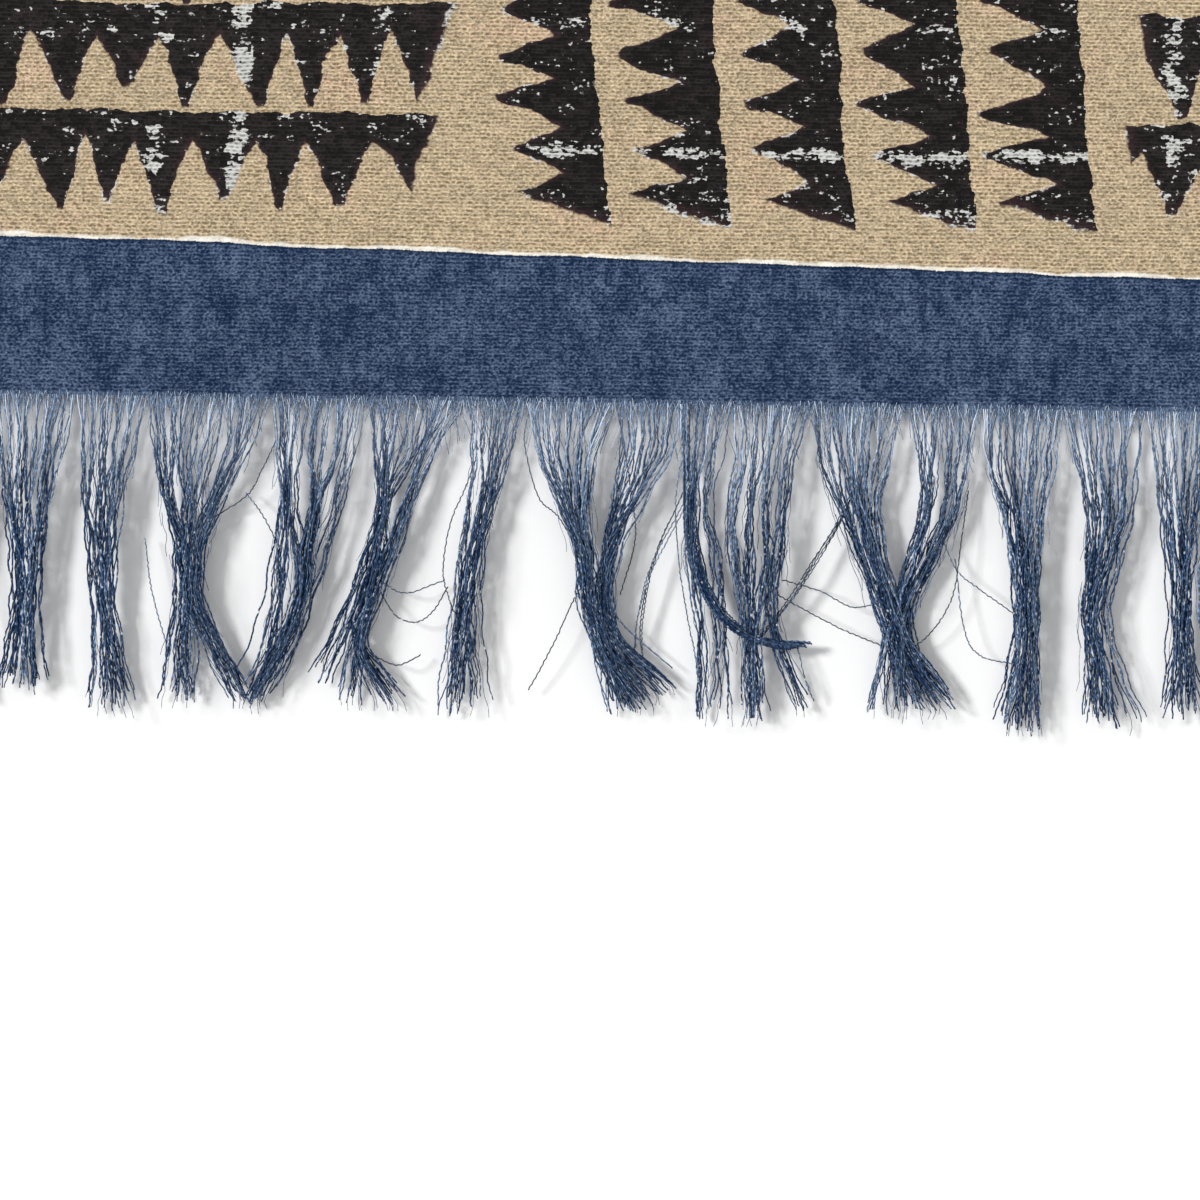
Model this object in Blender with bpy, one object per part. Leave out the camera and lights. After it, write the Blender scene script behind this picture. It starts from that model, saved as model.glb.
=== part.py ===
"""A printed stole with a fringe at each end, laid flat with its underside on the floor.

It lies along Y, with X across it and +Z up, and its origin is the middle of its footprint on the floor.
"""

import math
import random
from collections import namedtuple

import bmesh
import bpy
from mathutils import Vector

MM = 0.001

# The woven cloth
WIDTH = 500 * MM
LENGTH = 1700 * MM
WALL = 1.2 * MM
SIDE_WAVE = 3 * MM
SIDE_WAVE_PITCH = 610 * MM

# How the cloth's two ends curl up off the floor
CURL_HEIGHT = 3.0 * MM
CURL_DEPTH = 60 * MM
CURL_WAVE = 0.22
CURL_WAVE_PITCH = 118 * MM

# The fringe: a narrow strip just outside the cloth's last weft thread, and the strands drawn from it
SEAM_GAP = 0.3 * MM
STRIP_DEPTH = 1.5 * MM
STRIP_THICKNESS = 0.9 * MM
STRIP_END_INSET = 1.0 * MM
FRINGE_LENGTH = 63 * MM
STRAND_PITCH = 5.0 * MM
STRAND_THICKNESS = 0.9 * MM
STRAND_RINGS = 5
TIP_HEIGHT = 0.95 * MM
BOW_HEIGHT = 2.0 * MM
LAYER_STEP = 0.25 * MM
SIDE_CLEARANCE = 2.0 * MM

# How finely the cloth's wall is divided
COLUMNS = 16
BODY_ROWS = 46
CURL_ROWS = 3

HALF_WIDTH = WIDTH / 2
HALF_LENGTH = LENGTH / 2

# Soft ridges where the laid cloth stands off the floor, each a long bump. Millimetres, and degrees from +X.
Ripple = namedtuple("Ripple", "x y turn length half_width height")
RIPPLES = (
    Ripple(x=-250, y=-560, turn=12, length=300, half_width=46, height=4.5),
    Ripple(x=190, y=-430, turn=-20, length=330, half_width=50, height=5.0),
    Ripple(x=-90, y=-300, turn=35, length=360, half_width=52, height=3.8),
    Ripple(x=245, y=-120, turn=6, length=280, half_width=48, height=5.5),
    Ripple(x=-235, y=-60, turn=-14, length=320, half_width=50, height=4.6),
    Ripple(x=125, y=200, turn=62, length=400, half_width=55, height=3.6),
    Ripple(x=-240, y=270, turn=18, length=300, half_width=47, height=5.2),
    Ripple(x=230, y=380, turn=-10, length=310, half_width=50, height=4.4),
    Ripple(x=-110, y=520, turn=-38, length=340, half_width=52, height=4.0),
    Ripple(x=225, y=650, turn=16, length=260, half_width=46, height=4.2),
)

# Locks of the near fringe that the photograph shows, left to right: the middle of each at its root, a third
# of the way down, two thirds down and at its tip, half its spread at each, and its length. Millimetres, with
# the middle of the cloth at 0.
Lock = namedtuple("Lock", "root upper lower tip half_0 half_1 half_2 half_3 length")
SEEN_LOCKS = (
    Lock(-80.5, -84.0, -81.5, -80.0, half_0=9.7, half_1=5.0, half_2=3.8, half_3=7.0, length=61.0),
    Lock(-60.0, -60.0, -62.5, -69.2, half_0=10.4, half_1=4.8, half_2=3.2, half_3=2.4, length=60.6),
    Lock(-39.0, -41.5, -48.0, -47.5, half_0=10.2, half_1=4.4, half_2=4.6, half_3=8.2, length=59.6),
    Lock(-20.8, -22.4, -26.8, -26.6, half_0=7.6, half_1=3.0, half_2=2.8, half_3=3.8, length=61.8),
    Lock(-4.4, -4.4, -1.0, 6.2, half_0=8.8, half_1=3.6, half_2=2.8, half_3=3.2, length=60.8),
    Lock(11.2, 6.4, 5.2, 13.6, half_0=6.6, half_1=3.6, half_2=1.9, half_3=3.2, length=61.2),
    Lock(23.6, 19.4, 22.4, 22.6, half_0=5.6, half_1=2.8, half_2=2.6, half_3=3.2, length=62.0),
    Lock(36.0, 33.2, 32.6, 33.4, half_0=6.6, half_1=5.0, half_2=3.2, half_3=4.4, length=62.0),
    Lock(50.4, 51.0, 55.4, 58.2, half_0=7.6, half_1=4.0, half_2=2.6, half_3=4.2, length=60.0),
    Lock(66.4, 66.0, 61.8, 68.4, half_0=8.2, half_1=4.5, half_2=2.2, half_3=3.4, length=60.6),
    Lock(83.6, 82.2, 85.2, 86.2, half_0=8.8, half_1=3.8, half_2=2.8, half_3=5.0, length=63.0),
)


# Locks that the photograph doesn't show are spaced, bent and cut short by these, in millimetres
LOCK_PITCH = 16.4
LOCK_UNEVENNESS = 1.6
LENGTH_UNEVENNESS = 3.4
UPPER_SHIFT = 2.2
LOWER_SHIFT = 3.4
TIP_SHIFT = 2.8
UPPER_SHARE = 0.46
LOWER_SHARE = 0.32
TIP_SHARE = 0.50
NEAR_SEED = 5
FAR_SEED = 11


def clear_scene():
    for obj in list(bpy.data.objects):
        bpy.data.objects.remove(obj, do_unlink=True)


def finish_material(name, colour, roughness):
    material = bpy.data.materials.new(name)
    material.use_nodes = True
    shader = material.node_tree.nodes["Principled BSDF"]
    shader.inputs["Base Color"].default_value = (*colour, 1.0)
    shader.inputs["Roughness"].default_value = roughness
    shader.inputs["Metallic"].default_value = 0.0
    return material


def bump(share):
    """A soft rise from 0 at the rim, where share is 1, to 1 in the middle."""
    return (1 - share * share) ** 2 if abs(share) < 1 else 0.0


def side_pull(y, side):
    """How far in from its full half width the cloth's edge lies there, never less than nothing."""
    return SIDE_WAVE * (0.5 + 0.5 * math.sin(math.tau * y / SIDE_WAVE_PITCH + 1.9 * side))


def end_half_width(end, side):
    return HALF_WIDTH - side_pull(end * HALF_LENGTH, side)


def ripple_lift(x, y):
    lift = 0.0
    for ripple in RIPPLES:
        turn = math.radians(ripple.turn)
        dx, dy = x - ripple.x * MM, y - ripple.y * MM
        along = dx * math.cos(turn) + dy * math.sin(turn)
        across = dy * math.cos(turn) - dx * math.sin(turn)
        swell = bump(along / (ripple.length * MM / 2)) * bump(across / (ripple.half_width * MM))
        lift = max(lift, ripple.height * MM * swell)
    return lift


def curl_lift(x, y):
    """The ends rise off the floor, a little unevenly across the cloth."""
    into_curl = max(0.0, abs(y) - (HALF_LENGTH - CURL_DEPTH)) / CURL_DEPTH
    unevenness = 1 + CURL_WAVE * math.sin(math.tau * x / CURL_WAVE_PITCH + (0.6 if y < 0 else 2.1))
    return CURL_HEIGHT * unevenness * into_curl**2


def lift_at(x, y):
    """Height of the cloth's underside above the floor."""
    return ripple_lift(x, y) + curl_lift(x, y)


def row_positions():
    """The cloth's rows from end to end, closer together in the curls."""
    body_end = HALF_LENGTH - CURL_DEPTH
    body = [body_end * (2 * row / BODY_ROWS - 1) for row in range(BODY_ROWS + 1)]
    curl = [body_end + CURL_DEPTH * row / CURL_ROWS for row in range(1, CURL_ROWS + 1)]
    return [-y for y in reversed(curl)] + body + curl


def build_cloth(collection, material):
    """One length of cloth: a grid laid over the floor and its ripples, raised by the wall's thickness."""
    rows = row_positions()
    mesh = bmesh.new()
    bmesh.ops.create_grid(mesh, x_segments=COLUMNS, y_segments=len(rows) - 1, size=1.0)
    for vert in mesh.verts:
        row = round((vert.co.y + 1) / 2 * (len(rows) - 1))
        y = rows[row]
        across = vert.co.x
        x = across * (HALF_WIDTH - side_pull(y, 1 if across > 0 else -1) * abs(across))
        vert.co = Vector((x, y, lift_at(x, y)))
    raised = bmesh.ops.extrude_face_region(mesh, geom=mesh.faces[:])
    top = [item for item in raised["geom"] if isinstance(item, bmesh.types.BMVert)]
    bmesh.ops.translate(mesh, verts=top, vec=(0, 0, WALL))
    bmesh.ops.recalc_face_normals(mesh, faces=mesh.faces[:])
    return add_object("cloth", mesh, collection, material)


def plain_locks(low, high, seed):
    """Locks that fill the stretch of fringe from low to high, in millimetres, unevenly bent."""
    chance = random.Random(seed)
    count = round((high - low) / LOCK_PITCH)
    pitch = (high - low) / count
    inner = [low + pitch * n + chance.uniform(-LOCK_UNEVENNESS, LOCK_UNEVENNESS) for n in range(1, count)]
    bounds = [low, *inner, high]
    locks = []
    for left, right in zip(bounds, bounds[1:]):
        length = FRINGE_LENGTH / MM - (chance.uniform(0, LENGTH_UNEVENNESS) if locks else 0)
        root, half = (left + right) / 2, (right - left) / 2
        upper = root + chance.uniform(-UPPER_SHIFT, UPPER_SHIFT)
        lower = root + chance.uniform(-LOWER_SHIFT, LOWER_SHIFT)
        tip = root + chance.uniform(-TIP_SHIFT, TIP_SHIFT)
        halves = (half, half * UPPER_SHARE, half * LOWER_SHARE, half * TIP_SHARE)
        locks.append(Lock(root, upper, lower, tip, *halves, length))
    return locks


def locks_of(end):
    """Every lock at one end, left to right. The near end has the photographed locks in its middle."""
    low = -end_half_width(end, -1) / MM + STRIP_END_INSET / MM
    high = end_half_width(end, 1) / MM - STRIP_END_INSET / MM
    if end > 0:
        return plain_locks(low, high, FAR_SEED)
    first, last = SEEN_LOCKS[0], SEEN_LOCKS[-1]
    left = plain_locks(low, first.root - first.half_0, NEAR_SEED)
    right = plain_locks(last.root + last.half_0, high, NEAR_SEED + 1)
    return [*left, *SEEN_LOCKS, *right]


def through(values, share):
    """The smooth curve through four values, a third of the way apart."""
    total = 0.0
    for i, value in enumerate(values):
        weight = 1.0
        for j in range(len(values)):
            if j != i:
                weight *= (share * 3 - j) / (i - j)
        total += value * weight
    return total


class Strand:
    """One strand of a lock: it leaves the strip, closes up with its lock and comes down to the floor."""

    def __init__(self, lock, place, end, layer):
        self.lock, self.place, self.end, self.layer = lock, place, end, layer

    def x(self, share):
        lock = self.lock
        middle = through((lock.root, lock.upper, lock.lower, lock.tip), share)
        half = through((lock.half_0, lock.half_1, lock.half_2, lock.half_3), share)
        reach = HALF_WIDTH - SIDE_WAVE - SIDE_CLEARANCE * share
        return max(-reach, min(reach, (middle + self.place * half) * MM))

    def centre(self, share):
        y = self.end * (HALF_LENGTH + SEAM_GAP + STRIP_DEPTH + self.lock.length * MM * share)
        root_height = lift_at(self.x(0), self.end * HALF_LENGTH) + WALL / 2
        height = root_height * (1 - share) + TIP_HEIGHT * share + BOW_HEIGHT * 4 * share * (1 - share)
        return Vector((self.x(share), y, height + self.layer * LAYER_STEP * min(1, 3 * share)))

    def corner(self, share, side, level):
        """One of the four corners round the strand there. Its rings stand square to the cloth's length."""
        half = STRAND_THICKNESS / 2
        return self.centre(share) + Vector((side * half, 0, level * half))


def strands_of(end):
    strands = []
    for lock in locks_of(end):
        count = max(2, round(2 * lock.half_0 * MM / STRAND_PITCH))
        for n in range(count):
            place = (2 * n + 1) / count - 1
            strands.append(Strand(lock, place, end, layer=1 if n % 2 else -1))
    return strands


def build_fringe(name, end, collection, material):
    """A strip along the cloth's end, with each strand drawn out of its own small face on the outer side."""
    strands = strands_of(end)
    half = STRAND_THICKNESS / 2
    stations = [-end_half_width(end, -1) + STRIP_END_INSET / 2]
    for strand in strands:
        stations += [strand.x(0) - half, strand.x(0) + half]
    stations.append(end_half_width(end, 1) - STRIP_END_INSET / 2)
    cells = len(stations) - 1

    mesh = bmesh.new()
    bmesh.ops.create_cube(mesh, size=1.0)
    lengthwise = [edge for edge in mesh.edges if abs(edge.verts[0].co.x - edge.verts[1].co.x) > 0.5]
    bmesh.ops.subdivide_edges(mesh, edges=lengthwise, cuts=cells - 1, use_grid_fill=True)
    outer_corners = {}
    for vert in mesh.verts:
        station = round((vert.co.x + 0.5) * cells)
        outer = vert.co.y * end > 0
        level = 1 if vert.co.z > 0 else -1
        if outer:
            outer_corners[station, level] = vert
        x = stations[station]
        y = end * (HALF_LENGTH + SEAM_GAP + (STRIP_DEPTH if outer else 0))
        z = lift_at(x, end * HALF_LENGTH) + WALL / 2 + level * STRIP_THICKNESS / 2
        vert.co = Vector((x, y, z))

    for n, strand in enumerate(strands):
        left, right = 2 * n + 1, 2 * n + 2
        place_of = {}
        for station, side in ((left, -1), (right, 1)):
            for level in (-1, 1):
                place_of[outer_corners[station, level]] = (side, level)
        face = next(f for f in outer_corners[left, 1].link_faces if set(f.verts) == set(place_of))
        draw_out(mesh, face, strand, place_of)
    bmesh.ops.recalc_face_normals(mesh, faces=mesh.faces[:])
    return add_object(name, mesh, collection, material)


def draw_out(mesh, face, strand, place_of):
    """Extrudes a face along its strand, ring by ring. place_of gives each corner's side and level."""
    for ring in range(1, STRAND_RINGS + 1):
        places = [place_of[vert] for vert in face.verts]
        face = bmesh.ops.extrude_discrete_faces(mesh, faces=[face])["faces"][0]
        place_of = dict(zip(face.verts, places))
        for vert, (side, level) in place_of.items():
            vert.co = strand.corner(ring / STRAND_RINGS, side, level)


def add_object(name, mesh, collection, material):
    data = bpy.data.meshes.new(name)
    mesh.to_mesh(data)
    mesh.free()
    data.materials.append(material)
    obj = bpy.data.objects.new(name, data)
    collection.objects.link(obj)
    return obj


def main():
    clear_scene()
    collection = bpy.data.collections.new("stole")
    bpy.context.scene.collection.children.link(collection)
    printed_cloth = finish_material("printed_cloth", (0.45, 0.36, 0.24), 0.85)
    blue_yarn = finish_material("blue_yarn", (0.045, 0.08, 0.16), 0.6)
    build_cloth(collection, printed_cloth)
    build_fringe("fringe_near", -1, collection, blue_yarn)
    build_fringe("fringe_far", 1, collection, blue_yarn)


main()
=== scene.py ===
"""A block-printed stole laid flat, seen from straight above one fringed end."""

import math
import random
from collections import namedtuple

import bmesh
import bpy
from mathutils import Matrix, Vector


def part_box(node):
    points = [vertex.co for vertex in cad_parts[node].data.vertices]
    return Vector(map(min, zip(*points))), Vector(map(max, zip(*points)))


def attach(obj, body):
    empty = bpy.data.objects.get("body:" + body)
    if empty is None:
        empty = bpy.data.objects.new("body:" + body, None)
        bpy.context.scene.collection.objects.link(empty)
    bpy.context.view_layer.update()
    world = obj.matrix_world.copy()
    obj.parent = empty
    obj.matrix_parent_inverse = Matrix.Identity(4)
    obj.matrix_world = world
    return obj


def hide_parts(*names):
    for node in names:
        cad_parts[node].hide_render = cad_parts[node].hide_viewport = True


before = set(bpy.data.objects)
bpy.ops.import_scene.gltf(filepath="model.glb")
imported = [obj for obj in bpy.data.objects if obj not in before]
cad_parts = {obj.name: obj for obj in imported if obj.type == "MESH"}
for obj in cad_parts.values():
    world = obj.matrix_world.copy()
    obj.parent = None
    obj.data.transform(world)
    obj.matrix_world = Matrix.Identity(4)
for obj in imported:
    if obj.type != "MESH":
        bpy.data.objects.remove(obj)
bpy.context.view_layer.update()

# The view. The photograph looks straight down on one end of the stole, whose last weft thread falls a
# little to the right. Millimetres on the cloth come from its thread count, at five pixels to one.
MM = 0.001
PHOTO_PIXELS = 1200
PIXEL = 0.2 * MM
END_ROW_IN_MIDDLE = 405
END_FALL = math.radians(0.89)
VIEW_HEIGHT = 1200 * MM
SENSOR = 36.0

cloth_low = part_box("cloth")[0]
CLOTH_END = -cloth_low.y
end_below_centre = (PHOTO_PIXELS / 2 - END_ROW_IN_MIDDLE) * PIXEL
camera_data = bpy.data.cameras.new("camera")
camera_data.sensor_width = SENSOR
camera_data.lens = SENSOR * VIEW_HEIGHT / (PHOTO_PIXELS * PIXEL)
camera = bpy.data.objects.new("camera", camera_data)
beside = end_below_centre * math.sin(END_FALL)
beyond = CLOTH_END + end_below_centre * math.cos(END_FALL)
camera.location = (beside, -beyond, VIEW_HEIGHT)
camera.rotation_euler = (0, 0, END_FALL)
bpy.context.scene.collection.objects.link(camera)
bpy.context.scene.camera = camera

# The light. A broad soft lamp stands low at the upper left, so each lock throws a blurred shadow to its
# right, and a white room fills the shadows to a mid grey.
LAMP_HEIGHT = math.radians(38)
LAMP_TURN = math.radians(17)
LAMP_BREADTH = math.radians(12)
LAMP_STRENGTH = 3.23
ROOM_STRENGTH = 0.58

lamp_data = bpy.data.lights.new("lamp", "SUN")
lamp_data.energy = LAMP_STRENGTH
lamp_data.angle = LAMP_BREADTH
lamp = bpy.data.objects.new("lamp", lamp_data)
level_reach = math.cos(LAMP_HEIGHT)
towards_lamp = Vector(
    (-level_reach * math.cos(LAMP_TURN), level_reach * math.sin(LAMP_TURN), math.sin(LAMP_HEIGHT))
)
lamp.rotation_euler = towards_lamp.to_track_quat("Z", "Y").to_euler()
bpy.context.scene.collection.objects.link(lamp)

room = bpy.data.worlds.new("room")
room.use_nodes = True
room_light = room.node_tree.nodes["Background"]
room_light.inputs["Color"].default_value = (1, 1, 1, 1)
room_light.inputs["Strength"].default_value = ROOM_STRENGTH
bpy.context.scene.world = room
bpy.context.scene.view_settings.view_transform = "Standard"

# The surface that the stole lies on: plain, matt and white.
FLOOR_REACH = 6.0
FLOOR_DROP = 0.05 * MM
FLOOR_WHITE = (0.86, 0.86, 0.86)
FLOOR_ROUGHNESS = 0.9

mesh = bmesh.new()
bmesh.ops.create_grid(mesh, x_segments=1, y_segments=1, size=FLOOR_REACH)
bmesh.ops.translate(mesh, verts=mesh.verts[:], vec=(0, 0, -FLOOR_DROP))
floor_mesh = bpy.data.meshes.new("floor")
mesh.to_mesh(floor_mesh)
mesh.free()
floor = bpy.data.objects.new("floor", floor_mesh)
bpy.context.scene.collection.objects.link(floor)
white = bpy.data.materials.new("white_surface")
white.use_nodes = True
white_paint = white.node_tree.nodes["Principled BSDF"]
white_paint.inputs["Base Color"].default_value = (*FLOOR_WHITE, 1)
white_paint.inputs["Roughness"].default_value = FLOOR_ROUGHNESS
white_paint.inputs["Specular IOR Level"].default_value = 0.0
floor_mesh.materials.append(white)

# The cloth: one length of plain-woven cotton, printed from blocks in brown combs on tan, with an end band
# dyed blue and a thin line between them that no colour reached. It lies flat, in a few low ridges, and its
# ends lift a little off the surface.
CLOTH_WIDTH = 500 * MM
CLOTH_WALL = 0.7 * MM
SIDE_WAVE = 3 * MM
SIDE_WAVE_PITCH = 610 * MM
SIDE_WAVE_START = 1.9
CURL_HEIGHT = 3.0 * MM
CURL_DEPTH = 60 * MM
CURL_WAVE = 0.22
CURL_WAVE_PITCH = 118 * MM
NEAR_CURL_START = 0.6
FAR_CURL_START = 2.1
CLOTH_COLUMNS = 64
CLOTH_ROWS = 220
RIM_ANGLE = math.radians(60)

# Soft ridges, each a long bump: its middle, turn in degrees from +X, length, half width and height, in
# millimetres.
Ripple = namedtuple("Ripple", "x y turn length half_width height")
RIPPLES = (
    Ripple(x=-250, y=-560, turn=12, length=300, half_width=46, height=4.5),
    Ripple(x=190, y=-430, turn=-20, length=330, half_width=50, height=5.0),
    Ripple(x=-90, y=-300, turn=35, length=360, half_width=52, height=3.8),
    Ripple(x=245, y=-120, turn=6, length=280, half_width=48, height=5.5),
    Ripple(x=-235, y=-60, turn=-14, length=320, half_width=50, height=4.6),
    Ripple(x=125, y=200, turn=62, length=400, half_width=55, height=3.6),
    Ripple(x=-240, y=270, turn=18, length=300, half_width=47, height=5.2),
    Ripple(x=230, y=380, turn=-10, length=310, half_width=50, height=4.4),
    Ripple(x=-110, y=520, turn=-38, length=340, half_width=52, height=4.0),
    Ripple(x=225, y=650, turn=16, length=260, half_width=46, height=4.2),
)


def bump(share):
    """A soft rise from 0 at the rim, where share is 1, to 1 in the middle."""
    return (1 - share * share) ** 2 if abs(share) < 1 else 0.0


def side_pull(y, side):
    """How far in from its full half width the cloth's edge lies there."""
    return SIDE_WAVE * (0.5 + 0.5 * math.sin(math.tau * y / SIDE_WAVE_PITCH + SIDE_WAVE_START * side))


def lift_at(x, y):
    """Height of the cloth's underside above the surface."""
    lift = 0.0
    for ripple in RIPPLES:
        turn = math.radians(ripple.turn)
        dx, dy = x - ripple.x * MM, y - ripple.y * MM
        along = dx * math.cos(turn) + dy * math.sin(turn)
        across = dy * math.cos(turn) - dx * math.sin(turn)
        swell = bump(along / (ripple.length * MM / 2)) * bump(across / (ripple.half_width * MM))
        lift = max(lift, ripple.height * MM * swell)
    into_curl = max(0.0, abs(y) - (CLOTH_END - CURL_DEPTH)) / CURL_DEPTH
    start = NEAR_CURL_START if y < 0 else FAR_CURL_START
    unevenness = 1 + CURL_WAVE * math.sin(math.tau * x / CURL_WAVE_PITCH + start)
    return lift + CURL_HEIGHT * unevenness * into_curl**2


def new_piece(name, mesh, finish):
    """A finished piece at the origin, smooth, in its material and on the one body."""
    data = bpy.data.meshes.new(name)
    mesh.to_mesh(data)
    mesh.free()
    data.materials.append(finish.material)
    data.shade_smooth()
    piece = bpy.data.objects.new(name, data)
    bpy.context.scene.collection.objects.link(piece)
    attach(piece, "root")
    return piece


class Finish:
    """A material in the making. Its node method adds any node and gives back one of its outputs."""

    def __init__(self, name, roughness, specular, sheen=0.0):
        self.material = bpy.data.materials.new(name)
        self.material.use_nodes = True
        self.tree = self.material.node_tree
        self.surface = self.tree.nodes["Principled BSDF"]
        self.surface.inputs["Roughness"].default_value = roughness
        self.surface.inputs["Specular IOR Level"].default_value = specular
        self.surface.inputs["Sheen Weight"].default_value = sheen

    def node(self, kind, settings, sockets, output=0):
        made = self.tree.nodes.new(kind)
        for name, setting in settings.items():
            setattr(made, name, setting)
        for name, value in sockets.items():
            self.put(made.inputs[name], value)
        return Amount(self, made.outputs[output])

    def put(self, socket, value):
        if isinstance(value, Amount):
            self.tree.links.new(value.socket, socket)
        elif socket.type == "RGBA":
            socket.default_value = (*value, 1)
        else:
            socket.default_value = value

    def place(self):
        """Millimetres across and along the piece, from the middle of the stole."""
        coordinates = self.node("ShaderNodeTexCoord", {}, {}, "Object")
        parts = self.node("ShaderNodeSeparateXYZ", {}, {"Vector": coordinates}).socket.node
        return [Amount(self, parts.outputs[axis]) / MM for axis in "XY"]

    def point(self, x, y, z):
        return self.node("ShaderNodeCombineXYZ", {}, {"X": x, "Y": y, "Z": z})

    def noise(self, x, y, z=0.0, detail=1.0):
        """Soft noise about 0, between -1 and 1, one unit of x or y to a lump. z sets one noise apart."""
        sockets = {"Vector": self.point(x, y, z), "Scale": 1.0, "Detail": detail, "Roughness": 0.5}
        return self.node("ShaderNodeTexNoise", {}, sockets) * 2 - 1

    def chance(self, x, y, z=0.0):
        """An even random number from 0 to 1 for each whole x, y and z."""
        return self.node("ShaderNodeTexWhiteNoise", {}, {"Vector": self.point(x + 0.5, y + 0.5, z + 0.5)})

    def mix(self, share, first, second):
        """Mixes two colours, the second where share is 1."""
        settings = {"data_type": "RGBA"}
        made = self.node("ShaderNodeMix", settings, {0: share}).socket.node
        self.put(made.inputs[6], first)
        self.put(made.inputs[7], second)
        return Amount(self, made.outputs[2])

    def shade(self, colour, amount):
        """A colour times a number."""
        made = self.node("ShaderNodeVectorMath", {"operation": "SCALE"}, {"Scale": amount}).socket.node
        self.put(made.inputs[0], colour)
        return Amount(self, made.outputs[0])

    def feed(self, colour, height, depth, strength):
        self.put(self.surface.inputs["Base Color"], colour)
        relief = self.node("ShaderNodeBump", {}, {"Height": height, "Distance": depth, "Strength": strength})
        self.put(self.surface.inputs["Normal"], relief)


class Amount:
    """One socket of a finish. Arithmetic on it adds Math nodes."""

    def __init__(self, finish, socket):
        self.finish, self.socket = finish, socket

    def maths(self, operation, *values):
        sockets = dict(enumerate(values))
        return self.finish.node("ShaderNodeMath", {"operation": operation}, sockets)

    def __add__(self, other):
        return self.maths("ADD", self, other)

    def __radd__(self, other):
        return self.maths("ADD", other, self)

    def __sub__(self, other):
        return self.maths("SUBTRACT", self, other)

    def __rsub__(self, other):
        return self.maths("SUBTRACT", other, self)

    def __mul__(self, other):
        return self.maths("MULTIPLY", self, other)

    def __rmul__(self, other):
        return self.maths("MULTIPLY", other, self)

    def __truediv__(self, other):
        return self.maths("DIVIDE", self, other)

    def __abs__(self):
        return self.maths("ABSOLUTE", self)

    def __pow__(self, other):
        return self.maths("POWER", self, other)

    def over(self, other):
        """1 where this is the greater, else 0."""
        return self.maths("GREATER_THAN", self, other)

    def most(self, other):
        return self.maths("MAXIMUM", self, other)

    def least(self, other):
        return self.maths("MINIMUM", self, other)

    def whole(self):
        return self.maths("FLOOR", self)

    def part(self):
        return self.maths("FRACT", self)

    def cosine(self):
        return self.maths("COSINE", self)

    def odd(self):
        """1 for an odd whole number, 0 for an even one."""
        return (self * 0.5).part() * 2

    def rise(self, low, high):
        """0 below low, 1 above high and a smooth step between."""
        sockets = {"Value": self, "From Min": low, "From Max": high}
        return self.finish.node("ShaderNodeMapRange", {"interpolation_type": "SMOOTHSTEP"}, sockets)


mesh = bmesh.new()
bmesh.ops.create_grid(mesh, x_segments=CLOTH_COLUMNS, y_segments=CLOTH_ROWS, size=1.0)
for vert in mesh.verts:
    y = vert.co.y * CLOTH_END
    pull = side_pull(y, 1 if vert.co.x > 0 else -1)
    x = vert.co.x * (CLOTH_WIDTH / 2 - pull * abs(vert.co.x))
    vert.co = (x, y, lift_at(x, y))
raised = bmesh.ops.extrude_face_region(mesh, geom=mesh.faces[:])
top = [item for item in raised["geom"] if isinstance(item, bmesh.types.BMVert)]
bmesh.ops.translate(mesh, verts=top, vec=(0, 0, CLOTH_WALL))
bmesh.ops.recalc_face_normals(mesh, faces=mesh.faces[:])

# The weave: the pitch of its rows and floats in millimetres, how far both wander, and the half length and
# depth of a hole between floats as shares of them.
WEFT_PITCH = 0.806
FLOAT_PITCH = 1.39
THREAD_DRIFT = 0.5
ROW_SWAY = 0.35
ROW_WAVER = 0.26
FLOAT_UNEVENNESS = 0.70
HOLE_HALF_LENGTH = 0.42
HOLE_HALF_DEPTH = 0.36
WEAVE_RELIEF = 0.16 * MM

# The end band and the bare line above it, in millimetres.
BAND_DEPTH = 29.4
BAND_SLOPE = -0.022
BARE_LINE = 0.62
LINE_UNEVENNESS = 1.40
EDGE_FADE_DEPTH = 1.5

TAN = (0.546, 0.435, 0.287)
TAN_PINK = (0.605, 0.441, 0.303)
# The next colour is painted shade, for the holes between the weave's floats.
TAN_HOLE_SHADE = (0.196, 0.136, 0.066)
BROWN_BLACK = (0.0085, 0.0080, 0.0078)
BROWN_PURPLE = (0.026, 0.014, 0.016)
INK_LIT = (0.064, 0.052, 0.050)
UNPRINTED = (0.600, 0.600, 0.575)
ECRU = (0.90, 0.86, 0.78)
BLUE_DEEP = (0.0045, 0.016, 0.048)
BLUE_LIT = (0.132, 0.183, 0.284)

# The print, in millimetres: its blocks, the combs in them, and where the first block stands. Blocks of bars
# and blocks of columns take turns, with as many combs in each. A comb is a solid spine with teeth on one
# side. A spread is how far chance may move a part.
BLOCK_WIDTH = 126.0
BLOCK_LENGTH = 116.2
BLOCK_LEFT = -26.5
BLOCK_FOOT = 35.5
BLOCK_ROWS = 14
COMBS = 5
SIDE_GAP = 0.3
BAR_PITCH = 22.0
BAR_TOOTH = 12.0
BAR_SPINE = 6.0
BAR_REACH = 11.5
BAR_BOW = 1.5
BAR_END_GAP = 1.5
BAR_END_SPREAD = 8.5
BAR_END_CUT = 0.34
BAR_TAIL_GAP = 2.5
BAR_TAIL_SPREAD = 5
BAR_TAIL_CUT = 0.2
COLUMN_PITCH = 24.4
COLUMN_START = 3.7
COLUMN_TOOTH = 10.0
COLUMN_SPINE = 8.4
COLUMN_REACH = 10.0
COLUMN_LEAN = 0.125
LEAN_EASE = 0.0005
COLUMN_BOW = 0.9
COLUMN_FOOT_CUT = 0.33
COLUMN_FOOT_SPREAD = 1.4
COLUMN_FOOT_DROP = 0.6
COLUMN_HEAD_GAP = 5
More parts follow.
